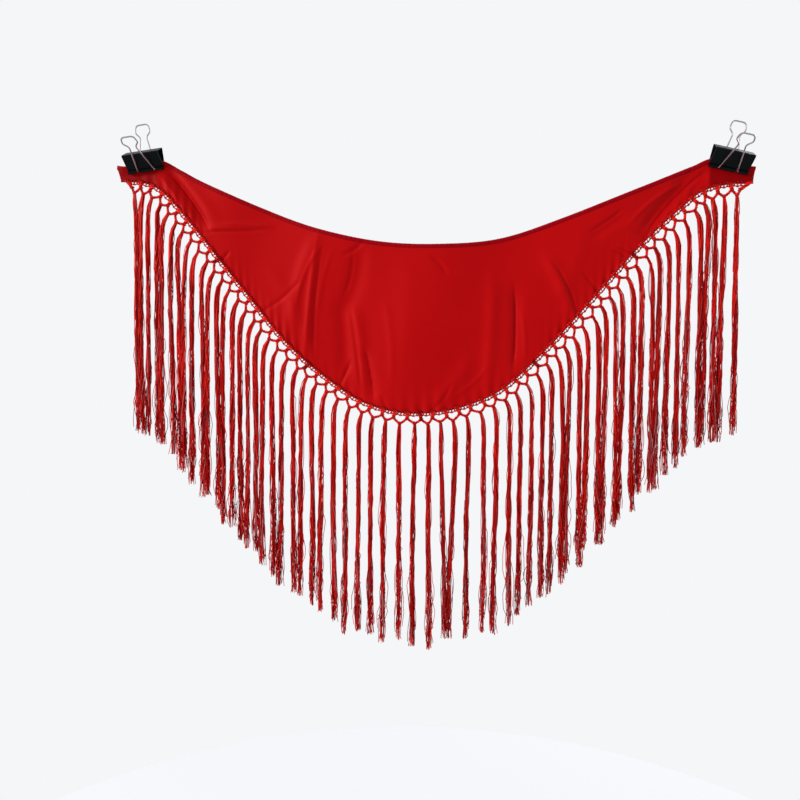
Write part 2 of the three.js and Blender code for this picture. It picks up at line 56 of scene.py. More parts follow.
import bpy
import numpy as np
from mathutils import Matrix, Vector

MM = 0.001

# Cloth
CLOTH_THICKNESS = 0.6
# How far behind the panel the turned ends lie
BACKING_GAP = 1.5
TOP_HEM = {"width": 6.0, "thickness": 2.4}
LOWER_HEM = {"width": 3.0, "thickness": 2.0}
# How far the panel reaches into each hem
TUCK = 1.6
# Corners sharper than these are drawn as edges
CLOTH_SHARP = math.radians(50)
HEM_SHARP = math.radians(60)
# Wavelength and depth of the unevenness along each hem
HEM_GATHERS = {"top": (6.3, 0.1), "lower": (4.1, 0.16)}
HEM_RINGS = {"top": 620, "lower": 760}
HEM_SIDES = 12
TURNED_END_GRID = {"columns": 40, "rows": 30}
TOP_EDGE = (
    (0, 0), (10, 1.5), (62, -6), (90, 7), (118, 22), (201, 58), (283, 88), (370, 106),
    (449, 110), (526, 103), (612, 76), (715, 36), (780, 10), (802, 2), (848, 12), (858, 13),
)
LOWER_EDGE = (
    (3, 22), (36, 24), (59, 34), (104, 82), (169, 163), (241, 249), (300, 299), (342, 325),
    (391, 339), (433, 340), (475, 333), (533, 308), (594, 252), (651, 188), (715, 114),
    (766, 65), (794, 43), (824, 35), (857, 34),
)
TIP_TO_TIP = TOP_EDGE[-1][0]
# Steps of an edge's curve from one of its places to the next
EDGE_STEPS = 60
PANEL_GRID = {"columns": 460, "rows": 104}

# Ridges (out above 0) and troughs (out below 0), each along a bowed line:
# from across, from drop, to across, to drop, bow, width, out
MAIN_FOLDS = (
    (69, 9, 124, 86, 3, 7, -8.5),
    (78, 8, 140, 78, 3, 9, 2.5),
    (124, 87, 212, 85, 0, 7, 2),
    (280, 98, 246, 227, -8, 10, 4),
    (281, 117, 267, 262, -4, 8, 4),
    (341, 108, 314, 205, 7, 12, -4),
    (314, 192, 319, 290, 2, 10, -4),
    (333, 200, 347, 302, 2, 9, 4),
    (346, 251, 361, 327, 0, 8, -4),
    (492, 262, 440, 330, 6, 11, 3),
    (521, 152, 513, 312, 3, 9, 4),
    (552, 165, 551, 280, 2, 8, -4),
    (592, 126, 628, 212, 4, 9, 5),
    (695, 73, 652, 102, 0, 7, -3),
    (782, 20, 716, 97, -3, 8, -7.5),
    (798, 14, 780, 47, 0, 6, -3),
)
FINE_CREASES = (
    (62, 17, 101, 78, 2, 2.8, 1.2),
    (72, 10, 128, 86, 3, 2.6, -3.4),
    (124, 92, 204, 89, 0, 2.4, -2.2),
    (150, 80, 214, 84, 0, 2.6, 1.4),
    (285, 112, 252, 190, -5, 2.6, 1.1),
    (287, 117, 275, 257, -4, 2.2, -1.6),
    (300, 120, 282, 200, -3, 3, 0.8),
    (330, 120, 318, 178, 3, 2.2, -1.2),
    (327, 270, 312, 304, 0, 2.2, -2.2),
    (348, 252, 360, 318, 1, 2.0, -1.8),
    (328, 203, 342, 306, 1, 2.6, -2.0),
    (371, 318, 382, 342, 0, 2.0, -2.0),
    (418, 216, 509, 243, 2, 2.4, -0.8),
    (205, 200, 256, 160, -3, 2.6, -1.3),
    (316, 124, 343, 107, -2, 2.4, -1.6),
    (141, 134, 158, 118, -1, 2.0, -1.6),
    (281, 100, 264, 262, -2, 2.6, 1.2),
    (376, 190, 384, 300, 4, 5, 0.9),
    (437, 127, 459, 151, 2, 2.4, -2.2),
    (470, 150, 520, 166, 3, 5, 0.7),
    (443, 334, 466, 300, -3, 2.4, -1.5),
    (470, 316, 512, 280, -3, 2.6, 1.0),
    (550, 169, 550, 275, 2, 2, -2.4),
    (560, 200, 566, 262, 2, 2.4, 0.9),
    (601, 134, 635, 209, 4, 2.2, -2.6),
    (640, 150, 664, 180, 2, 2.4, -1.8),
    (650, 94, 690, 66, -1, 2.2, -1.6),
    (678, 113, 707, 129, 1, 1.8, 1.3),
    (681, 119, 704, 134, 1, 1.5, -1.3),
    (700, 92, 724, 104, 1, 1.8, -1.0),
    (790, 22, 723, 99, -4, 2.6, -3.0),
    (770, 30, 700, 84, -5, 3, 1.6),
    (404, 130, 396, 300, 6, 14, 0.9),
    (640, 92, 600, 190, 8, 12, 1.1),
    (210, 140, 262, 236, 6, 10, 1.0),
)
WAVES = (
    {"height": 3.5, "length": 330, "phase": 0.4, "slant": 0.2},
    {"height": 2.0, "length": 170, "phase": 2.1, "slant": -0.35},
)
WAVE_FADE = (60, 190)
# Share of the main folds' depth that the dressed cloth has
MAIN_SHARE = 0.72
PUCKER = {"depth": 1.5, "reach": 13.0}
LEFT_FOLD_END = 57.0
RIGHT_FOLD_START = 800.0

# Net and fringe
STRANDS = 62
STRETCHES = 6
NET_MARGIN = 11.0
NET = {"header": 2.4, "first_knot": 7.4, "second_knot": 14.4, "squash": 0.06, "squash_width": 0.16}
# Strand lengths are counted from this far out from the edge
SOLID_ROOT = 18.2
KNOT_HALF = 2.4
UNEVEN_KNOTS = {"along": 1.3, "out": 0.7}
# How far the first and last ties are shifted along the edge, at the cloth and at their knots
END_TIES = {0: {"cloth": 0.0, "knot": 5.0}, STRANDS: {"cloth": 4.0, "knot": -4.0}}
# Along a tie: distance out from the edge, half the gap between its two cords, and place in front of the cloth
TIE_STEPS = (-3.0, -1.6, 0.4, 2.6, 5.0)
TIE_SPREAD = (1.6, 1.5, 1.2, 0.8, 0.8, 0.4)
TIE_FORWARD = (0.4, 1.9, 1.2, 0.5, 0.3, 0.2)
# Along a whip stitch: distance out up to the header, shift along the edge, and place in front of the cloth
WHIP_STEPS = (-3.6, -1.6, 0.8)
WHIP_SLANT = (0.9, 0.4, -0.2, -0.6)
WHIP_FORWARD = (0.5, 1.5, 1.2, 0.7)
WHIPS = (0.26, 0.5, 0.74)
COIL = {"radius": 1.9, "turns": 2.2}
# Between the lower edge and where the net is counted from
SEAM_GAP = 0.3
STRAND = {"out": 11.0, "turn": 10.0, "lean": 3.2, "sway": 1.2}
STRAND_LENGTH = {"left": 329.0, "middle": 301.0, "right": 314.0, "uneven": 8.0}
STRAND_POINTS = 30
CORD = {"Plies": 3, "Ply radius": 1.04 * MM, "Turns per metre": 110.0, "Spacing": 1.3 * MM, "Sides": 5}
KNOT_COIL = {"Plies": 2, "Ply radius": 0.85 * MM, "Turns per metre": 90.0, "Spacing": 1.1 * MM, "Sides": 5}
HEADER_THREAD = {**KNOT_COIL, "Ply radius": 0.62 * MM, "Sides": 4}
LOOSE_THREADS = {
    "Threads": 40, "Bundle radius": 3.5 * MM, "Thread radius": 0.5 * MM, "Turns per metre": 4.0,
    "Wander": 7.0 * MM, "Shortest": 0.87, "Points": 30, "Sides": 3,
}
# Strands that hang against the next one, and how far down the two meet
PAIRS = {0: 0.1, 3: 0.1, 6: 0.3, 9: 0.35, 11: 0.7, 32: 0.85, 42: 0.5, 52: 0.6, 57: 0.5}
PAIR_DISTANCE = 6.0
# The most that a thread may stray from its strand
LOOSEST_THREAD = 8.0
# Seeds of the loose threads' draws, and the step in thread numbers from one strand to the next
THREAD_SEEDS = {"cut": 1, "angle": 2, "stray": 3, "settled": 4, "tone_and_shade": 6}
SEED_PER_STRAND = 97.0
# Their wandering: waves per metre, and how far apart in the noise one thread is from the next
WANDER_NOISE = {"waves": 16.0, "apart": 3.7}
TURN_NOISE = {"waves": 7.0, "apart": 5.1, "layer": 40.0, "turns": 1.6}
# Threads drawn above this share stray farther than the others
STRAYS = {"above": 0.88, "extra": 2.2}
# A bundle is narrow at its knot and full after some way down
BUNDLE_OPENS = {"at_knot": 0.6, "per_metre": 25.0}
# Where along a strand its threads start to spread, and how fast
FLARE = {"from": 0.75, "gain": 1.5}

# Clips
CLIPS = (
    {"side": "left", "across": 40.8, "drop": 5.6, "turn": 7.5},
    {"side": "right", "across": 824.0, "drop": 14.3, "turn": -13.5},
)
CLIP_TILT = math.radians(24.5)
CURL_OFFSET = 3.9
CAD_STACK = 0.75
CLOTH_BEND = {"below": 4.0, "softness": 1.2, "holds": 31.0, "fades": 52.0}
JAW_PRESS = {"holds": 31.0, "fades": 42.0, "below": 11.0, "full": 4.0}
HOOK_REACH = 60.5

# Camera, from the left tip
CAMERA = {"place": (492.1, -1094.0, -263.2), "yaw": -5.0, "pitch": -3.067, "roll": 0.414, "lens": 36.0}

# Studio, in metres from the middle of the part
FLOOR = {"radius": 1.05, "below": 0.6}
LIGHTS = (
    {"name": "key", "place": (-4.6, -2.7, 1.6), "size": 1.4, "power": 265.0, "tint": (1.0, 0.985, 0.97)},
    {"name": "back", "place": (2.6, 3.0, 1.2), "size": 1.8, "power": 80.0, "tint": (0.97, 0.98, 1.0)},
)
ROOM_LIGHT = {"tint": (0.965, 0.98, 1.0), "strength": 0.94}

SATIN = {
    "darkest": (0.30, 0.0014, 0.0022),
    "brightest": (0.355, 0.0022, 0.0030),
    # doubled: painted shade where the turned ends lie behind the panel and keep out the light from behind
    "doubled_shade": (0.19, 0.0005, 0.0016),
}
# Rolled hems: painted shade, darker than the panel since the rolled layers let less light through
ROLL = {"darkest": (0.15, 0.0005, 0.003), "brightest": (0.27, 0.0008, 0.004)}
ENAMEL = (0.003, 0.0035, 0.004)
NICKEL = (0.34, 0.32, 0.32)
FLOOR_GREY = (0.66, 0.67, 0.68)
# Metres from one rib of the satin to the next, and millimetres over which the painted shade of the doubled
# cloth comes in
SATIN_RIB = 0.0009
DOUBLED_SHADE_FADE = 3

# Yarn colours: bright, deep (painted shade between plies and threads) and pale, and how far down the
# deepening starts and ends
YARNS = {
    "cord": ("net_cord", (0.72, 0.009, 0.004), (0.13, 0.0005, 0.002), (0.5, 0.1, 0.1), 0.5, 0.9),
    # The knots' wraps and the header thread get darker colours as painted shade
    "knot": ("shaded_knot_cord", (0.50, 0.004, 0.003), (0.07, 0.0004, 0.002), (0.5, 0.1, 0.1), 0.5, 0.9),
    "thread": ("silky_thread", (0.68, 0.009, 0.005), (0.19, 0.0007, 0.002), (0.42, 0.14, 0.15), 0.05, 0.26),
}


# Shape of the hung cloth


def smooth(value, low, high):
    t = np.clip((value - low) / (high - low), 0.0, 1.0)
    return t * t * (3 - 2 * t)


class Edge:
    """A smooth edge through (across, drop) places."""

    def __init__(self, places):
        points = np.array([(across, -drop) for across, drop in places], float)
        ends = np.vstack([2 * points[0] - points[1], points, 2 * points[-1] - points[-2]])
        runs = [self.run(*ends[i : i + 4]) for i in range(len(points) - 1)]
        self.points = np.vstack([*runs, points[-1:]])
        self.arc = np.concatenate([[0], np.cumsum(np.hypot(*np.diff(self.points, axis=0).T))])
        slope = np.gradient(self.points, self.arc, axis=0)
        self.slope = slope / np.hypot(*slope.T)[:, None]
        self.length = self.arc[-1]

    @staticmethod
    def run(before, start, end, after):
        spans = ((before, start), (start, end), (end, after))
        first, middle, last = (math.dist(a, b) ** 0.5 for a, b in spans)
        step = end - start
        leave = middle * ((start - before) / first - (end - before) / (first + middle)) + step
        arrive = middle * ((after - end) / last - (after - start) / (middle + last)) + step
        t = np.linspace(0, 1, EDGE_STEPS, endpoint=False)[:, None]
        return start + leave * t + (3 * step - 2 * leave - arrive) * t**2 + (leave + arrive - 2 * step) * t**3

    def slope_at(self, arc):
        return np.interp(arc, self.arc, self.slope[:, 0]), np.interp(arc, self.arc, self.slope[:, 1])

    def at(self, arc, up=0.0):
        x = np.interp(arc, self.arc, self.points[:, 0])
        z = np.interp(arc, self.arc, self.points[:, 1])
        slope_x, slope_z = self.slope_at(arc)
        return x - slope_z * up, z + slope_x * up

    def at_across(self, across, up=0.0):
        return self.at(np.interp(across, self.points[:, 0], self.arc), up)


top_edge = Edge(TOP_EDGE)
lower_edge = Edge(LOWER_EDGE)
TIES = np.linspace(NET_MARGIN, lower_edge.length - NET_MARGIN, STRANDS + 1)


def fold_out(x, z, folds):
    total = np.zeros(np.broadcast(x, z).shape)
    for from_across, from_drop, to_across, to_drop, bow, width, out in folds:
        along_x = to_across - from_across
        along_z = from_drop - to_drop
        length = math.hypot(along_x, along_z)
        dx = x - from_across
        dz = z + from_drop
        t = (dx * along_x + dz * along_z) / length**2
        aside = (dz * along_x - dx * along_z) / length - bow * 4 * t * (1 - t)
        ends = smooth(t, -0.15, 0.25) * (1 - smooth(t, 0.75, 1.15))
        total = total + out * np.exp(-((aside / width) ** 2)) * ends
    return total


def wave_out(x, z):
    fade = smooth(np.minimum(x, TIP_TO_TIP - x), *WAVE_FADE)
    turns = [2 * math.pi * (x + wave["slant"] * z) / wave["length"] + wave["phase"] for wave in WAVES]
    return fade * sum(wave["height"] * np.sin(turn) for wave, turn in zip(WAVES, turns))


def from_clip(clip, x, z):
    turn = math.radians(clip["turn"])
    dx = x - clip["across"]
    dz = z + clip["drop"]
    along = np.abs(dx * math.cos(turn) + dz * math.sin(turn))
    return along, dz * math.cos(turn) - dx * math.sin(turn)


def clip_lean(x, z):
    total = 0.0
    for clip in CLIPS:
        along, above = from_clip(clip, x, z)
        softness = CLOTH_BEND["softness"]
        rise = softness * np.logaddexp(0, (above + CLOTH_BEND["below"]) / softness)
        hold = 1 - smooth(along, CLOTH_BEND["holds"], CLOTH_BEND["fades"])
        total = total + math.tan(CLIP_TILT) * rise * hold
    return total


def pressed(x, z):
    most = 0.0
    for clip in CLIPS:
        along, above = from_clip(clip, x, z)
        beside = 1 - smooth(along, JAW_PRESS["holds"], JAW_PRESS["fades"])
        most = np.maximum(most, beside * smooth(above, -JAW_PRESS["below"], -JAW_PRESS["full"]))
    return most


def cloth_depth(x, z):
    out = MAIN_SHARE * fold_out(x, z, MAIN_FOLDS) + wave_out(x, z) + fold_out(x, z, FINE_CREASES)
    return -out * (1 - pressed(x, z)) - clip_lean(x, z)


def clip_place(clip):
    """Middle of a jaw line, and the turn of the clip."""
    across, drop = clip["across"], clip["drop"]
    depth = float(cloth_depth(np.array(across), np.array(-drop))) + CAD_STACK / math.cos(CLIP_TILT)
    turn = Matrix.Rotation(-math.radians(clip["turn"]), 3, "Y") @ Matrix.Rotation(CLIP_TILT, 3, "X")
    return Vector((across, depth, -drop)), turn


def left_tip():
    """The origin is inside the loop of the left clip's back handle, so the left tip lies off it."""
    middle, turn = clip_place(CLIPS[0])
    upright = turn @ Matrix.Rotation(-CLIP_TILT, 3, "X")
    return -(middle + turn @ Vector((0, CURL_OFFSET, 0)) + upright @ Vector((0, 0, HOOK_REACH)))


LEFT_TIP = np.array(left_tip())


def to_frame(x, depth, z):
    return (np.stack(np.broadcast_arrays(x, depth, z), axis=-1) + LEFT_TIP) * MM


def on_cloth(flat, forward=0.0):
    """Places on the hung cloth, moved out of it towards its front."""
    x, z = flat
    step = 0.1
    depth = cloth_depth(x, z)
    slope_x = (cloth_depth(x + step, z) - depth) / step
    slope_z = (cloth_depth(x, z + step) - depth) / step
    move = forward / np.sqrt(slope_x**2 + slope_z**2 + 1)
    return to_frame(x + slope_x * move, depth - move, z + slope_z * move)


# Meshes


def add_object(name, mesh):
    made = bpy.data.objects.new(name, mesh)
    bpy.context.scene.collection.objects.link(made)
    return made


def mesh_from(name, points, faces):
    mesh = bpy.data.meshes.new(name)
    mesh.from_pydata(points.tolist(), [], faces.tolist())
    mesh.polygons.foreach_set("use_smooth", [True] * len(mesh.polygons))
    mesh.set_sharp_from_angle(angle=CLOTH_SHARP)
    mesh.update()
    return mesh


def grid_faces(columns, rows, start=0, flip=False):
    corner = start + np.arange(columns - 1)[:, None] * rows + np.arange(rows - 1)
    quads = np.stack([corner, corner + rows, corner + rows + 1, corner + 1], axis=-1).reshape(-1, 4)
    return quads[:, ::-1] if flip else quads


def cloth_shell(name, flat, forward):
    """Two faces of one layer of cloth with a closed rim. flat holds grids of x and z, columns by rows."""
    columns, rows = flat[0].shape
    count = columns * rows
    front = on_cloth(flat, forward + CLOTH_THICKNESS / 2).reshape(-1, 3)
    rear = on_cloth(flat, forward - CLOTH_THICKNESS / 2).reshape(-1, 3)
    index = np.arange(count).reshape(columns, rows)
    rim = np.concatenate([index[:-1, 0], index[-1, :-1], index[:0:-1, -1], index[0, :0:-1]])
    after = np.roll(rim, -1)
    rim_faces = np.stack([rim, rim + count, after + count, after], axis=-1)
    faces = np.vstack([grid_faces(columns, rows, flip=True), grid_faces(columns, rows, count), rim_faces])
    mesh = mesh_from(name, np.vstack([front, rear]), faces)
    flat_places = np.stack([flat[0].ravel(), flat[1].ravel()], axis=-1) * MM
    loops = np.empty(len(mesh.loops), dtype=int)
    mesh.loops.foreach_get("vertex_index", loops)
    weave = mesh.uv_layers.new(name="weave")
    weave.data.foreach_set("uv", flat_places[loops % count].ravel())
    return add_object(name, mesh)


def flat_area(flat):
    """Area of a grid of flat places, in square metres."""
    x, z = flat
    across = x[1:, 1:] - x[:-1, :-1], z[1:, 1:] - z[:-1, :-1]
    other = x[:-1, 1:] - x[1:, :-1], z[:-1, 1:] - z[1:, :-1]
    return float(np.abs(across[0] * other[1] - across[1] * other[0]).sum() / 2) * MM**2


def panel_flat(arcs, rows):
    """Grid of the panel's flat places: columns at distances along the lower edge, from the top down."""
    first, last = LOWER_EDGE[0][0], LOWER_EDGE[-1][0]
    across = TIP_TO_TIP * (lower_edge.at(arcs)[0] - first) / (last - first)
    top = top_edge.at_across(across, TUCK - TOP_HEM["width"])
    bottom = lower_edge.at(arcs, LOWER_HEM["width"] - TUCK)
    share = np.linspace(0, 1, rows)
    return tuple(a[:, None] + (b - a)[:, None] * share for a, b in zip(top, bottom))


def arcs_between(from_across, to_across, count):
    arcs = np.interp([from_across, to_across], lower_edge.points[:, 0], lower_edge.arc)
    return np.linspace(*arcs, count)


def puckers(arcs, flat):
    """Small gathers that the ties of the net pull into the lower edge."""
    pitch = TIES[1] - TIES[0]
    up = np.hypot(flat[0] - flat[0][:, -1:], flat[1] - flat[1][:, -1:])
    within = smooth(arcs, TIES[0], TIES[3]) * (1 - smooth(arcs, TIES[-4], TIES[-1]))
    uneven = 0.6 + 0.4 * np.sin(arcs / 41.0) + 0.35 * np.sin(arcs / 17.3 + 1)
    wave = uneven * np.cos(2 * math.pi * (arcs - TIES[0]) / pitch) + 0.4 * np.sin(1.3 * arcs / pitch)
    return PUCKER["depth"] * (within * wave)[:, None] * np.exp(-up / PUCKER["reach"])


def make_panel():
    arcs = np.linspace(0, lower_edge.length, PANEL_GRID["columns"])
    flat = panel_flat(arcs, PANEL_GRID["rows"])
    return cloth_shell("satin_panel", flat, -puckers(arcs, flat)), flat_area(flat)


def make_turned_end(side, from_across, to_across):
    arcs = arcs_between(from_across, to_across, TURNED_END_GRID["columns"])
    flat = panel_flat(arcs, TURNED_END_GRID["rows"])
    return cloth_shell(f"{side}_turned_end", flat, -BACKING_GAP), flat_area(flat)


def rolled_hem(name, edge, arcs, low, high, thickness, gathers):
    """A rolled band along an edge, uneven as a sewn roll is. gathers is its wavelength and depth."""
    around = np.linspace(0, 2 * math.pi, HEM_SIDES, endpoint=False)
    middle, half = (low + high) / 2, (high - low) / 2
    wavelength, depth = gathers
    uneven = depth * (np.sin(2 * math.pi * arcs / wavelength) + 0.6 * np.sin(arcs / wavelength * 2.3 + 1))
    fuller = 1 + uneven[:, None]
    up = middle + half * np.cos(around) * (1 + 0.15 * uneven[:, None])
    forward = thickness / 2 * np.sin(around) * fuller
    flat = edge.at(arcs[:, None], up)
    rings = on_cloth(flat, forward)
    count = len(around)
    starts = np.arange(len(arcs) - 1)[:, None] * count
    here, beside = np.arange(count), (np.arange(count) + 1) % count
    corners = [starts + here, starts + beside, starts + count + beside, starts + count + here]
    faces = np.stack(corners, axis=-1).reshape(-1, 4)[:, ::-1].tolist()
    last = (len(arcs) - 1) * count
    mesh = bpy.data.meshes.new(name)
    caps = [here.tolist(), (last + here[::-1]).tolist()]
    mesh.from_pydata(rings.reshape(-1, 3).tolist(), [], faces + caps)
    mesh.polygons.foreach_set("use_smooth", [True] * len(mesh.polygons))
    mesh.set_sharp_from_angle(angle=HEM_SHARP)
    mesh.update()
    return add_object(name, mesh)


# Lines that the cords and threads follow


def knot_out(arc, row):
    """How far a knot hangs below the edge, a little less in the middle."""
    from_middle = (arc / lower_edge.length - 0.5) / NET["squash_width"]
    return NET[row] * (1 - NET["squash"] * np.exp(-(from_middle**2)))


def net_place(arc, out, forward=0.0):
    """arc runs along the lower edge and out runs away from the cloth."""
    arc, out, forward = np.broadcast_arrays(np.asarray(arc, float), out, forward)
    edge = on_cloth(lower_edge.at(arc), forward)
    x, z = lower_edge.at(arc, -(SEAM_GAP + out))
    place = to_frame(x, 0.0, z)
    place[..., 1] = edge[..., 1]
    return place


def first_knot(tie):
    """Distance along the edge and away from it of a knot under a tie."""
    along = TIES[tie] + UNEVEN_KNOTS["along"] * math.sin(tie * 2.3)
    if tie in END_TIES:
        along += END_TIES[tie]["knot"]
    return along, knot_out(TIES[tie], "first_knot") + UNEVEN_KNOTS["out"] * math.sin(tie * 3.7)


def second_knot(strand):
    """The same for the knot that a strand hangs from."""
    middle = (TIES[strand] + TIES[strand + 1]) / 2
    along = middle + UNEVEN_KNOTS["along"] * math.sin(strand * 5.1)
    return along, knot_out(middle, "second_knot") + UNEVEN_KNOTS["out"] * math.sin(strand * 3.3)


def net_lines(first, last):
    """The net between two strands: its thick cords, its header with whip stitches, and its knots' ends."""
    cords, header, knots = [], [], []
    for tie in range(first, last + 1):
        along, out = first_knot(tie)
        steps = np.array([*TIE_STEPS, out])
        for side in (-1, 1):
            spread = side * np.array(TIE_SPREAD)
            start = TIES[tie] + (END_TIES[tie]["cloth"] if tie in END_TIES else 0.0)
            arcs = start + (along - start) * steps / out + spread
            cords.append(net_place(arcs, steps, np.array(TIE_FORWARD)))
        knots.append(net_place(along, np.array([out - KNOT_HALF, out + KNOT_HALF * 0.6])))
    for strand in range(first, last):
        along, out = second_knot(strand)
        for tie in (strand, strand + 1):
            start, high = first_knot(tie)
            share = np.linspace(0, 1, 6)
            bulge = 0.25 * np.sin(math.pi * share)
            cords.append(net_place(start + (along - start) * share, high + (out - high) * share + bulge, 0.3))
        knots.append(net_place(along, np.array([out - KNOT_HALF, out + KNOT_HALF * 0.6])))
        start, end = TIES[strand], TIES[strand + 1]
        run = np.linspace(start, end, 9)
        wave = 0.5 * np.cos((run - start) / (end - start) * 4 * math.pi)
        header.append(net_place(run, NET["header"] + wave, 0.7))
        steps = np.array([*WHIP_STEPS, NET["header"]])
        for share in WHIPS:
            whip = start + (end - start) * share + np.array(WHIP_SLANT)
            header.append(net_place(whip, steps, np.array(WHIP_FORWARD)))
    return cords, header, knots


def coil_line(start, end):
    """A short coil from start to end, as the wraps of a knot."""
    axis = end - start
    side = np.cross(axis, [0.0, 1.0, 0.0])
    side = side / np.linalg.norm(side)
    share = np.linspace(0.1, 0.9, 20)[:, None]
    angle = 2 * math.pi * COIL["turns"] * share
    swell = np.sin(math.pi * share) ** 0.5 * COIL["radius"] * MM
    round_it = side * np.cos(angle) + np.array([0.0, -1.0, 0.0]) * np.sin(angle)
    return start + axis * share + swell * round_it


def strand_length(index):
    t = 2 * (index + 0.5) / STRANDS - 1
    end = STRAND_LENGTH["left"] if t < 0 else STRAND_LENGTH["right"]
    uneven = math.sin(index * 1.7) * math.cos(index * 0.61) + 0.4 * math.sin(index * 4.3)
    middle = STRAND_LENGTH["middle"]
    return middle + (end - middle) * abs(t) + STRAND_LENGTH["uneven"] * uneven


def strand_line(index):
    """Middle line of a strand: square off the edge, then plumb."""
    arc, root = second_knot(index)
    start = net_place(arc, root + KNOT_HALF * 0.4)
    length = strand_length(index) + SOLID_ROOT - root
    share = np.linspace(0, 1, STRAND_POINTS) ** 1.35
    down = share * length
    turned = 1 - np.exp(-down / STRAND["turn"])
    side = STRAND["out"] * float(lower_edge.slope_at(arc)[1])
    line = np.empty((STRAND_POINTS, 3))
    drift = STRAND["lean"] * math.sin(index * 2.9) * share + 0.8 * np.sin(share * 7 + index * 1.9) * share
    line[:, 0] = start[0] + (side * turned + drift) * MM
    line[:, 1] = start[1] + STRAND["sway"] * math.sin(index * 2.3 + 1) * share * MM
    line[:, 2] = start[2] - down * MM
    return line


def strand_lines():
    """All the strands, with those that hang together drawn towards one another."""
    lines = [strand_line(index) for index in range(STRANDS)]
    for index, meets in PAIRS.items():
        left, right = lines[index], lines[index + 1]
        height = np.maximum(left[:, 2], right[:, 2])
        down = (height[0] - height) / (height[0] - height[-1])
        closer = smooth(down, 0.0, meets)
        apart = right[:, 0] - left[:, 0]
        move = closer * np.maximum(apart - PAIR_DISTANCE * MM, 0) / 2
        left[:, 0] += move
        right[:, 0] -= move
    return lines


# Node trees: shader and geometry alike


class Wire:
    """An output of a node that Python's operators work on."""

    def __init__(self, tree, socket):
        self.tree = tree
        self.socket = socket

    def math(self, operation, *values):
        sockets = dict(enumerate(values))
        return self.tree.add("ShaderNodeMath", {"operation": operation}, sockets)

    def __add__(self, other):
        return self.math("ADD", self, other)

    def __sub__(self, other):
        return self.math("SUBTRACT", self, other)

    def __rsub__(self, other):
        return self.math("SUBTRACT", other, self)

    def __mul__(self, other):
        return self.math("MULTIPLY", self, other)

    def __truediv__(self, other):
        return self.math("DIVIDE", self, other)

    def __pow__(self, other):
        return self.math("POWER", self, other)

    def of(self, operation, *others):
        return self.math(operation, self, *others)


class Tree:
    """A node tree that is filled through one method."""

    def __init__(self, tree):
        self.tree = tree

    def add(self, kind, settings=None, sockets=None, output=0):
        node = self.tree.nodes.new(kind)
        for name, value in (settings or {}).items():
            setattr(node, name, value)
        for key, value in (sockets or {}).items():
            if isinstance(value, Wire):
                self.tree.links.new(value.socket, node.inputs[key])
            else:
                node.inputs[key].default_value = value
        return Wire(self, node.outputs[output]) if node.outputs else node

    def also(self, wire, output):
        """Another output of the node that a wire comes from."""
        return Wire(self, wire.socket.node.outputs[output])


# Finishes


def colour(red, green, blue):
    return (red, green, blue, 1.0)


def new_finish(name):
    finish = bpy.data.materials.new(name)
    finish.use_nodes = True
    finish.node_tree.nodes.clear()
    return finish, Tree(finish.node_tree)


def close_finish(tree, sockets):
    surface = tree.add("ShaderNodeBsdfPrincipled", sockets=sockets)
    tree.add("ShaderNodeOutputMaterial", sockets={"Surface": surface})


def mixed(tree, factor, first, second):
    settings = {"data_type": "RGBA"}
    return tree.add("ShaderNodeMix", settings, {0: factor, 6: first, 7: second}, output=2)


def satin_finish():
    """Satin crepe: a fine twill grain, faint broad shading, and painted shade where the ends are doubled,
    since two layers let less light through from behind.
    """
    finish, tree = new_finish("satin_crepe")
    weave = tree.add("ShaderNodeUVMap", {"uv_map": "weave"})
    split = tree.add("ShaderNodeSeparateXYZ", sockets={0: weave})
    across, up = split, tree.also(split, 1)
    # Painted shade over the doubled ends, fading in over a few millimetres
    ends = [(LEFT_FOLD_END * MM, -1.0), (RIGHT_FOLD_START * MM, 1.0)]
    doubled_shade = 0.0
    for edge, way in ends:
        beyond = (across - edge) * (way / (DOUBLED_SHADE_FADE * MM))
        doubled_shade = beyond.of("MINIMUM", 1.0).of("MAXIMUM", 0.0) + doubled_shade
    broad = tree.add("ShaderNodeTexNoise", sockets={"Vector": weave, "Scale": 9.0, "Detail": 3.0})
    plain = mixed(tree, broad, colour(*SATIN["darkest"]), colour(*SATIN["brightest"]))
    shaded = mixed(tree, doubled_shade, plain, colour(*SATIN["doubled_shade"]))
    rib = ((across + up * 0.5) * (2 * math.pi / SATIN_RIB)).of("SINE")
    crepe = tree.add("ShaderNodeTexNoise", sockets={"Vector": weave, "Scale": 1400.0, "Detail": 2.0})
    height = rib * 0.35 + crepe
    bump = tree.add("ShaderNodeBump", sockets={"Strength": 0.12, "Distance": 0.0002, "Height": height})
    rough = broad * 0.1 + 0.5
    close_finish(tree, {
        "Base Color": shaded, "Roughness": rough, "Normal": bump,
        "Sheen Weight": 0.12, "Sheen Roughness": 0.4, "Sheen Tint": colour(0.9, 0.03, 0.03),
        "Specular IOR Level": 0.35, "Specular Tint": colour(1.0, 0.03, 0.03),
    })
    return finish


def roll_finish():
    """The hems' rolled satin, darker by painted shade: several layers deep, it lets less light through."""
    finish, tree = new_finish("rolled_satin")
    place = tree.add("ShaderNodeTexCoord", output="Object")
    mottle = tree.add("ShaderNodeTexNoise", sockets={"Vector": place, "Scale": 240.0, "Detail": 3.0})
    tone_and_shade = mixed(tree, mottle, colour(*ROLL["darkest"]), colour(*ROLL["brightest"]))
    bump = tree.add("ShaderNodeBump", sockets={"Strength": 0.3, "Distance": 0.0004, "Height": mottle})
    close_finish(tree, {
        "Base Color": tone_and_shade, "Roughness": 0.5, "Normal": bump, "Specular IOR Level": 0.3,
        "Specular Tint": colour(1.0, 0.05, 0.05),
    })
    return finish


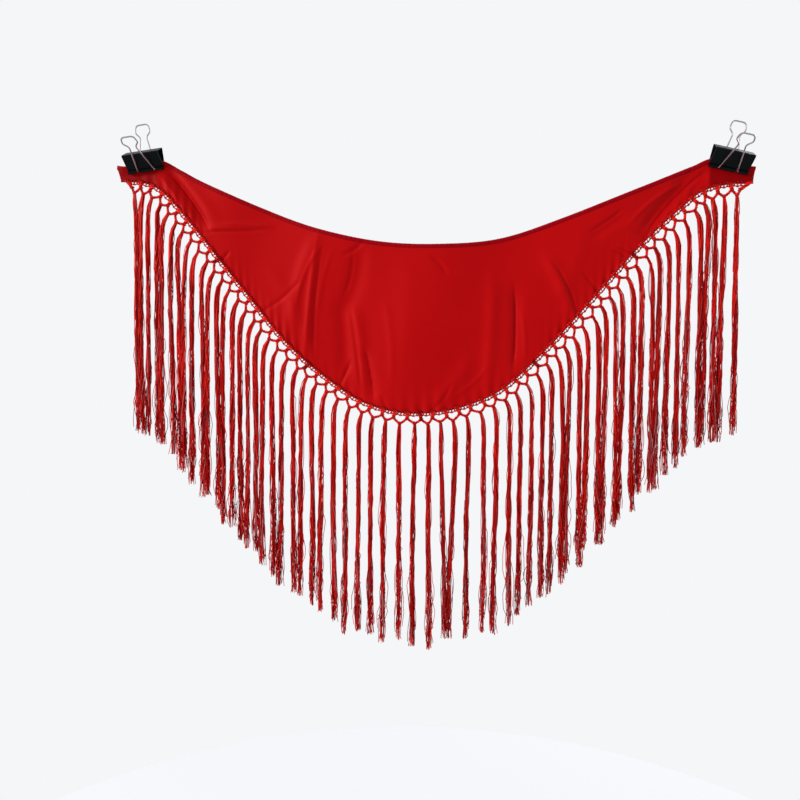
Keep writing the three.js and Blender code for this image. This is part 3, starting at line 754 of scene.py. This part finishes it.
def yarn_finish(name, bright, deep_shade, pale_colour, down_from, down_to):
    """Silky yarn. Each thread and ply has its own tone, which mixes towards a deep painted shade between the
    plies and threads, and the hanging parts get deeper towards their ends.
    """
    finish, tree = new_finish(name)
    tone_and_shade = tree.add("ShaderNodeAttribute", {"attribute_name": "tone_and_shade"}, output="Fac")
    down = tree.add("ShaderNodeAttribute", {"attribute_name": "down"}, output="Fac")
    lower = ((down - down_from) * (1 / (down_to - down_from))).of("MINIMUM", 1.0).of("MAXIMUM", 0.0)
    shade = (tone_and_shade * 1.15 - 0.15 + lower * 0.3).of("MINIMUM", 1.0).of("MAXIMUM", 0.0)
    shaded_silk = mixed(tree, shade, colour(*bright), colour(*deep_shade))
    # Threads with the highest tone are drawn pale towards their ends
    pale = tone_and_shade.of("GREATER_THAN", 0.9) * lower * 0.8
    paled = mixed(tree, pale, shaded_silk, colour(*pale_colour))
    close_finish(tree, {
        "Base Color": paled, "Roughness": 0.42, "Specular IOR Level": 0.5,
        "Specular Tint": colour(1.0, 0.12, 0.1),
    })
    return finish


def clip_finish():
    finish, tree = new_finish("black_enamel")
    place = tree.add("ShaderNodeTexCoord", output="Object")
    dust = tree.add("ShaderNodeTexNoise", sockets={"Vector": place, "Scale": 60.0, "Detail": 4.0})
    rough = dust * 0.15 + 0.3
    close_finish(tree, {
        "Base Color": colour(*ENAMEL), "Roughness": rough, "Specular IOR Level": 0.045,
        "Specular Tint": colour(0.8, 1.0, 1.0),
    })
    return finish


def wire_finish():
    finish, tree = new_finish("nickel_wire")
    place = tree.add("ShaderNodeTexCoord", output="Object")
    wear = tree.add("ShaderNodeTexNoise", sockets={"Vector": place, "Scale": 180.0, "Detail": 3.0})
    rough = wear * 0.12 + 0.32
    close_finish(tree, {"Base Color": colour(*NICKEL), "Metallic": 1.0, "Roughness": rough})
    return finish


def floor_finish():
    finish, tree = new_finish("pale_floor")
    close_finish(tree, {"Base Color": colour(*FLOOR_GREY), "Roughness": 0.95, "Specular IOR Level": 0.1})
    return finish


# Yarn by geometry nodes


def new_bundle_tree(name, inputs):
    group = bpy.data.node_groups.new(name, "GeometryNodeTree")
    group.interface.new_socket("Lines", in_out="INPUT", socket_type="NodeSocketGeometry")
    keys = {}
    for label, kind in inputs.items():
        keys[label] = group.interface.new_socket(label, in_out="INPUT", socket_type=kind).identifier
    group.interface.new_socket("Mesh", in_out="OUTPUT", socket_type="NodeSocketGeometry")
    tree = Tree(group)
    source = tree.add("NodeGroupInput")
    return group, tree, {label: tree.also(source, label) for label in ("Lines", *inputs)}, keys


def square_to_line(tree, angle, distance):
    """An offset from a curve, at an angle round it."""
    normal = tree.add("GeometryNodeInputNormal")
    tangent = tree.add("GeometryNodeInputTangent")
    other = tree.add("ShaderNodeVectorMath", {"operation": "CROSS_PRODUCT"}, {0: tangent, 1: normal})
    parts = []
    for way, size in ((normal, angle.of("COSINE") * distance), (other, angle.of("SINE") * distance)):
        parts.append(tree.add("ShaderNodeVectorMath", {"operation": "SCALE"}, {0: way, "Scale": size}))
    return tree.add("ShaderNodeVectorMath", {"operation": "ADD"}, {0: parts[0], 1: parts[1]})


def end_bundle(tree, curves, radius, sides, finish):
    """Curves to closed threads of a few sides, with their finish."""
    ring = tree.add("GeometryNodeCurvePrimitiveCircle", sockets={"Resolution": sides, "Radius": radius})
    sockets = {"Curve": curves, "Profile Curve": ring, "Fill Caps": True}
    tubes = tree.add("GeometryNodeCurveToMesh", sockets=sockets)
    real = tree.add("GeometryNodeRealizeInstances", sockets={0: tubes})
    done = tree.add("GeometryNodeSetMaterial", sockets={"Geometry": real, "Material": finish})
    tree.add("NodeGroupOutput", sockets={0: done})


def random_share(tree, thread, seed):
    return tree.add("FunctionNodeRandomValue", {"data_type": "FLOAT"}, {"ID": thread, "Seed": seed}, output=1)


def keep(tree, curves, name, value):
    settings = {"data_type": "FLOAT", "domain": "POINT"}
    sockets = {"Geometry": curves, "Name": name, "Value": value}
    return tree.add("GeometryNodeStoreNamedAttribute", settings, sockets)


def cord_tree():
    """Plies twisted round each line."""
    inputs = {
        "Plies": "NodeSocketInt", "Ply radius": "NodeSocketFloat", "Turns per metre": "NodeSocketFloat",
        "Spacing": "NodeSocketFloat", "Sides": "NodeSocketInt", "Finish": "NodeSocketMaterial",
    }
    group, tree, given, keys = new_bundle_tree("twisted_cord", inputs)
    lines = tree.add("GeometryNodeMeshToCurve", sockets={"Mesh": given["Lines"]})
    rounded = tree.add("GeometryNodeCurveSplineType", {"spline_type": "CATMULL_ROM"}, {"Curve": lines})
    fine = tree.add(
        "GeometryNodeResampleCurve", {"mode": "LENGTH"}, {"Curve": rounded, "Length": given["Spacing"]}
    )
    plies = tree.add(
        "GeometryNodeDuplicateElements", {"domain": "SPLINE"}, {"Geometry": fine, "Amount": given["Plies"]}
    )
    which = tree.also(plies, "Duplicate Index")
    along = tree.add("GeometryNodeSplineParameter", output="Length")
    angle = (which / given["Plies"] + along * given["Turns per metre"]) * (2 * math.pi)
    offset = square_to_line(tree, angle, given["Ply radius"])
    laid = tree.add("GeometryNodeSetPosition", sockets={"Geometry": plies, "Offset": offset})
    # Painted shade: each ply is drawn a step darker than the last, so that the twist shows
    toned_and_shaded = keep(tree, laid, "tone_and_shade", which / given["Plies"] * 1.3)
    end_bundle(tree, keep(tree, toned_and_shaded, "down", 0.0), given["Ply radius"], given["Sides"], given["Finish"])
    return group, keys


def thread_tree():
    """Loose threads round each line: a slow twist, a wandering lie, and uneven cut ends."""
    inputs = {
        "Threads": "NodeSocketInt", "Bundle radius": "NodeSocketFloat", "Thread radius": "NodeSocketFloat",
        "Turns per metre": "NodeSocketFloat", "Wander": "NodeSocketFloat", "Shortest": "NodeSocketFloat",
        "Points": "NodeSocketInt", "Sides": "NodeSocketInt", "Finish": "NodeSocketMaterial",
    }
    group, tree, given, keys = new_bundle_tree("loose_threads", inputs)
    lines = tree.add("GeometryNodeMeshToCurve", sockets={"Mesh": given["Lines"]})
    copies = tree.add(
        "GeometryNodeDuplicateElements", {"domain": "SPLINE"}, {"Geometry": lines, "Amount": given["Threads"]}
    )
    strand = tree.add("GeometryNodeInputNamedAttribute", {"data_type": "FLOAT"}, {"Name": "strand"})
    thread = strand * SEED_PER_STRAND + tree.also(copies, "Duplicate Index")
    cut = 1.0 - random_share(tree, thread, THREAD_SEEDS["cut"]) ** 2.0 * (1.0 - given["Shortest"])
    trimmed = tree.add("GeometryNodeTrimCurve", {"mode": "FACTOR"}, {"Curve": copies, "End": cut})
    even = tree.add(
        "GeometryNodeResampleCurve", {"mode": "COUNT"}, {"Curve": trimmed, "Count": given["Points"]}
    )
    share = tree.add("GeometryNodeSplineParameter")
    along = tree.also(share, "Length")
    waves = {0: along * WANDER_NOISE["waves"], 1: thread * WANDER_NOISE["apart"]}
    place = tree.add("ShaderNodeCombineXYZ", sockets=waves)
    solid = {"noise_dimensions": "3D"}
    lie = tree.add("ShaderNodeTexNoise", solid, {"Vector": place, "Scale": 1.0, "Detail": 2.0})
    waves = {0: along * TURN_NOISE["waves"], 1: thread * TURN_NOISE["apart"], 2: TURN_NOISE["layer"]}
    slow = tree.add("ShaderNodeCombineXYZ", sockets=waves)
    turn = tree.add("ShaderNodeTexNoise", solid, {"Vector": slow, "Scale": 1.0, "Detail": 1.0})
    hand = strand.of("MODULO", 2.0) * 2.0 - 1.0
    laid_at = random_share(tree, thread, THREAD_SEEDS["angle"])
    twisted = along * given["Turns per metre"] * hand
    angle = (laid_at + twisted + (turn - 0.5) * TURN_NOISE["turns"]) * (2 * math.pi)
    freed = share.of("SMOOTH_MIN", 1.0, 0.01) ** 2.0
    loose = random_share(tree, thread, THREAD_SEEDS["stray"]).of("GREATER_THAN", STRAYS["above"])
    loose = loose * STRAYS["extra"] + 1.0
    flare = (share.of("SMOOTH_MIN", 1.0, 0.01) - FLARE["from"]).of("MAXIMUM", 0.0) * FLARE["gain"] + 1.0
    settled = random_share(tree, thread, THREAD_SEEDS["settled"]) ** 0.75 * given["Bundle radius"] * flare
    opened = (along * BUNDLE_OPENS["per_metre"] + BUNDLE_OPENS["at_knot"]).of("MINIMUM", 1.0)
    distance = settled * opened + (lie - 0.5) * given["Wander"] * loose * (freed * 1.6 + opened * 0.5)
    distance = distance.of("MINIMUM", LOOSEST_THREAD * MM).of("MAXIMUM", -LOOSEST_THREAD * MM)
    laid = tree.add(
        "GeometryNodeSetPosition", sockets={"Geometry": even, "Offset": square_to_line(tree, angle, distance)}
    )
    # Random tone per thread, mixed towards painted shade for the dark gaps between threads
    toned_and_shaded = keep(tree, laid, "tone_and_shade", random_share(tree, thread, THREAD_SEEDS["tone_and_shade"]))
    sized = keep(tree, toned_and_shaded, "down", along)
    end_bundle(tree, sized, given["Thread radius"], given["Sides"], given["Finish"])
    return group, keys


def line_mesh(lines, numbers):
    """Loose edges along each line, every line with its strand's number."""
    mesh = bpy.data.meshes.new("lines")
    points = np.vstack(lines)
    ends = np.cumsum([len(line) for line in lines])
    starts = ends - [len(line) for line in lines]
    edges = [(i, i + 1) for start, end in zip(starts, ends) for i in range(start, end - 1)]
    mesh.from_pydata(points.tolist(), edges, [])
    strand = mesh.attributes.new("strand", "FLOAT", "POINT")
    strand.data.foreach_set("value", np.repeat(numbers, [len(line) for line in lines]).astype(float))
    return mesh


def grow(tree_and_keys, lines, numbers, values, finish):
    """Runs a bundle tree on lines and gives the plain mesh."""
    group, keys = tree_and_keys
    carrier = add_object("lines", line_mesh(lines, numbers))
    modifier = carrier.modifiers.new("grow", "NODES")
    modifier.node_group = group
    for label, value in {**values, "Finish": finish}.items():
        modifier[keys[label]] = value
    depsgraph = bpy.context.evaluated_depsgraph_get()
    mesh = bpy.data.meshes.new_from_object(carrier.evaluated_get(depsgraph))
    bpy.data.objects.remove(carrier)
    return mesh


def joined(name, meshes):
    """One object from several meshes of one finish or more."""
    parts = [add_object(f"{name}_{i}", mesh) for i, mesh in enumerate(meshes)]
    with bpy.context.temp_override(active_object=parts[0], selected_editable_objects=parts):
        bpy.ops.object.join()
    parts[0].name = name
    return parts[0]


def make_fringe(finishes):
    cords, threads = cord_tree(), thread_tree()
    lines = strand_lines()
    pieces = []
    for stretch in range(STRETCHES):
        first = round(stretch * STRANDS / STRETCHES)
        last = round((stretch + 1) * STRANDS / STRETCHES)
        net, header, knots = net_lines(first, last)
        coils = [coil_line(start, end) for start, end in knots]
        numbers = list(range(first, last))
        meshes = [
            grow(cords, net, range(len(net)), CORD, finishes["cord"]),
            grow(cords, header, range(len(header)), HEADER_THREAD, finishes["knot"]),
            grow(cords, coils, range(len(coils)), KNOT_COIL, finishes["knot"]),
            grow(threads, [lines[i] for i in numbers], numbers, LOOSE_THREADS, finishes["thread"]),
        ]
        piece = joined(f"knotted_fringe_{stretch + 1}", meshes)
        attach(piece, "shawl")
        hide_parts(f"fringe_{stretch + 1}")
        pieces.append(piece)
    return pieces


# Studio


def set_camera():
    yaw, pitch, roll = (math.radians(CAMERA[key]) for key in ("yaw", "pitch", "roll"))
    ahead = Vector((math.sin(yaw) * math.cos(pitch), math.cos(yaw) * math.cos(pitch), math.sin(pitch)))
    right = Vector((math.cos(yaw), -math.sin(yaw), 0))
    up = right.cross(ahead)
    rolled_right = right * math.cos(roll) + up * math.sin(roll)
    rolled_up = up * math.cos(roll) - right * math.sin(roll)
    data = bpy.data.cameras.new("camera")
    data.sensor_width = 36.0
    data.lens = CAMERA["lens"]
    data.clip_start = 0.01
    camera = add_object("camera", data)
    turn = Matrix((rolled_right, rolled_up, -ahead)).transposed()
    place = Vector((np.array(CAMERA["place"]) + LEFT_TIP) * MM)
    camera.matrix_world = Matrix.Translation(place) @ turn.to_4x4()
    bpy.context.scene.camera = camera


def make_floor(finish):
    """A plain round floor well below the fringe."""
    low, high = (Vector(corner) for corner in CAD_BOX)
    angles = np.radians(np.arange(0, 360, 5))
    radius = FLOOR["radius"]
    ring = np.stack([radius * np.cos(angles), radius * np.sin(angles), np.zeros(len(angles))], axis=-1)
    centre = np.array([(low.x + high.x) / 2, (low.y + high.y) / 2, low.z - FLOOR["below"]])
    face = np.arange(len(angles))[None, :]
    floor = add_object("studio_floor", mesh_from("studio_floor", ring + centre, face))
    floor.data.materials.append(finish)


def add_light(name, place, target, size, power, tint):
    data = bpy.data.lights.new(name, "AREA")
    data.size = size
    data.energy = power
    data.color = tint
    light = add_object(name, data)
    light.location = place
    light.rotation_euler = (Vector(target) - Vector(place)).to_track_quat("-Z", "Y").to_euler()


def set_lights():
    low, high = (Vector(corner) for corner in CAD_BOX)
    middle = (low + high) / 2
    for light in LIGHTS:
        place = middle + Vector(light["place"])
        add_light(light["name"], place, middle, light["size"], light["power"], light["tint"])
    world = bpy.data.worlds.new("room")
    world.use_nodes = True
    background = world.node_tree.nodes["Background"]
    background.inputs["Color"].default_value = colour(*ROOM_LIGHT["tint"])
    background.inputs["Strength"].default_value = ROOM_LIGHT["strength"]
    bpy.context.scene.world = world
    bpy.context.scene.view_settings.view_transform = "Standard"


def coat(piece, finish):
    piece.data.materials.clear()
    piece.data.materials.append(finish)


def put(piece, finish, slot, *nodes):
    coat(piece, finish)
    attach(piece, "shawl")
    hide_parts(*nodes)


def build():
    set_camera()
    satin, roll = satin_finish(), roll_finish()
    panel, panel_area = make_panel()
    put(panel, satin, "cloth", "cloth_panel")
    left_end, left_area = make_turned_end("left", LOWER_EDGE[0][0], LEFT_FOLD_END)
    right_end, right_area = make_turned_end("right", RIGHT_FOLD_START, LOWER_EDGE[-1][0])
    put(left_end, satin, "cloth", "left_end_fold")
    put(right_end, satin, "cloth", "right_end_fold")

    top_arcs = np.linspace(0, top_edge.length, HEM_RINGS["top"])
    top_hem = rolled_hem(
        "rolled_top_hem", top_edge, top_arcs, -TOP_HEM["width"], 0.0, TOP_HEM["thickness"], HEM_GATHERS["top"]
    )
    lower_arcs = np.linspace(0, lower_edge.length, HEM_RINGS["lower"])
    lower_hem = rolled_hem(
        "whipped_lower_hem", lower_edge, lower_arcs, 0.0, LOWER_HEM["width"], LOWER_HEM["thickness"],
        HEM_GATHERS["lower"],
    )
    put(top_hem, roll, "hem", "top_hem")
    put(lower_hem, roll, "hem", "lower_hem")

    fringe = make_fringe({part: yarn_finish(*values) for part, values in YARNS.items()})

    clip, wire = clip_finish(), wire_finish()
    for side in ("left", "right"):
        coat(bpy.data.objects[f"{side}_clip_body"], clip)
        coat(bpy.data.objects[f"{side}_clip_front_handle"], wire)
        coat(bpy.data.objects[f"{side}_clip_back_handle"], wire)

    make_floor(floor_finish())
    set_lights()


build()
